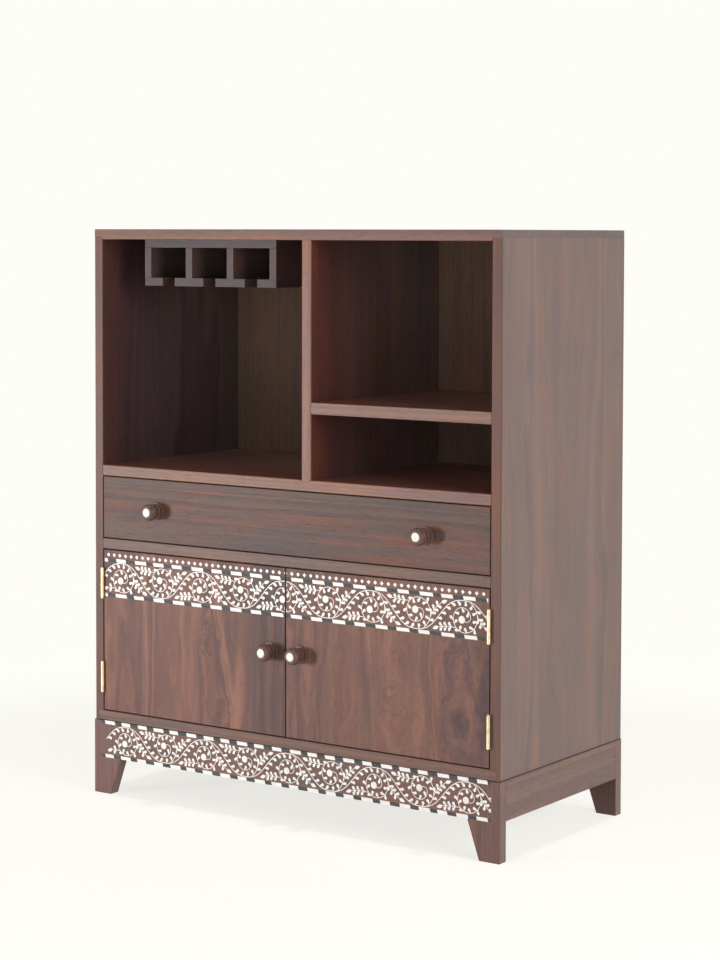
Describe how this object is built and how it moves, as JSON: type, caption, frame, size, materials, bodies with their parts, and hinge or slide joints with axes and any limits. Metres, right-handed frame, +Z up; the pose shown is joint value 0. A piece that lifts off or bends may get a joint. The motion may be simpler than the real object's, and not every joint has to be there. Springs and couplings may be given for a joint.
{
  "type": "bar cabinet",
  "caption": "Tall wooden bar cabinet with a hanging stemware rack, open compartments, a drawer and hinged doors with a bone vine-scroll band, on a low base with tapered board legs.",
  "frame": {"origin": "on the floor, midway across the width and midway between the knob tips and the back", "axes": "+Z up, front faces -Y, +X to the right of a person who looks at the front"},
  "size_m": [0.9, 0.456, 1.067],
  "materials": {
    "walnut_wood": "walnut-stained sheesham, open grain, satin lacquer",
    "turned_wood": "walnut-stained turned sheesham, satin lacquer",
    "inside_wood": "dark stained wood, matt",
    "box_wood": "greyer stained wood, matt",
    "bone": "polished camel bone",
    "black_block": "charcoal black inlay, satin",
    "brass": "pale brass, satin",
    "steel": "zinc plated steel",
    "catch_plastic": "brown moulded plastic"
  },
  "bodies": {
    "carcass": {"top_panel": "walnut_wood", "left_side_panel": "walnut_wood", "right_side_panel": "walnut_wood", "back_panel": "inside_wood", "divider": "walnut_wood", "right_shelf": "walnut_wood", "compartment_floor": "walnut_wood", "dust_board": "inside_wood", "bottom_board": "inside_wood", "rack_top_board": "box_wood", "rack_left_wall": "box_wood", "rack_mid_left_wall": "box_wood", "rack_mid_right_wall": "box_wood", "rack_right_wall": "box_wood", "rack_lips": "box_wood", "front_left_leg": "walnut_wood", "front_right_leg": "walnut_wood", "back_left_leg": "walnut_wood", "back_right_leg": "walnut_wood", "front_apron": "walnut_wood", "back_apron": "inside_wood", "left_apron": "walnut_wood", "right_apron": "walnut_wood", "corner_blocks": "inside_wood", "left_runner": "box_wood", "right_runner": "box_wood", "hinge_frame_leaves": "brass", "hinge_pins": "brass", "frame_leaf_screws": "brass", "door_catches": "catch_plastic", "apron_bone_inlay": "bone", "apron_black_inlay": "black_block"},
    "drawer": {"drawer_front": "walnut_wood", "drawer_left_side": "box_wood", "drawer_right_side": "box_wood", "drawer_back": "box_wood", "drawer_bottom": "box_wood", "drawer_left_knob": "turned_wood", "drawer_right_knob": "turned_wood", "drawer_knob_discs": "bone", "drawer_knob_screws": "steel"},
    "left_door": {"left_door_panel": "walnut_wood", "left_door_knob": "turned_wood", "left_door_knob_disc": "bone", "left_door_knob_screw": "steel", "left_door_leaves": "brass", "left_door_leaf_screws": "brass", "left_strike_plate": "steel", "left_door_bone_inlay": "bone", "left_door_black_inlay": "black_block"},
    "right_door": {"right_door_panel": "walnut_wood", "right_door_knob": "turned_wood", "right_door_knob_disc": "bone", "right_door_knob_screw": "steel", "right_door_leaves": "brass", "right_door_leaf_screws": "brass", "right_strike_plate": "steel", "right_door_bone_inlay": "bone", "right_door_black_inlay": "black_block"}
  },
  "joints": [
    {"name": "drawer_slide", "type": "slide", "parent": "carcass", "child": "drawer", "axis": [0, -1, 0], "range_m": [0, 0.27]},
    {"name": "left_door_hinge", "type": "hinge", "parent": "carcass", "child": "left_door", "pos_m": [-0.4281, -0.1994, 0.3115], "axis": [0, 0, -1], "range_deg": [0, 170]},
    {"name": "right_door_hinge", "type": "hinge", "parent": "carcass", "child": "right_door", "pos_m": [0.4281, -0.1994, 0.3115], "axis": [0, 0, 1], "range_deg": [0, 170]}
  ]
}
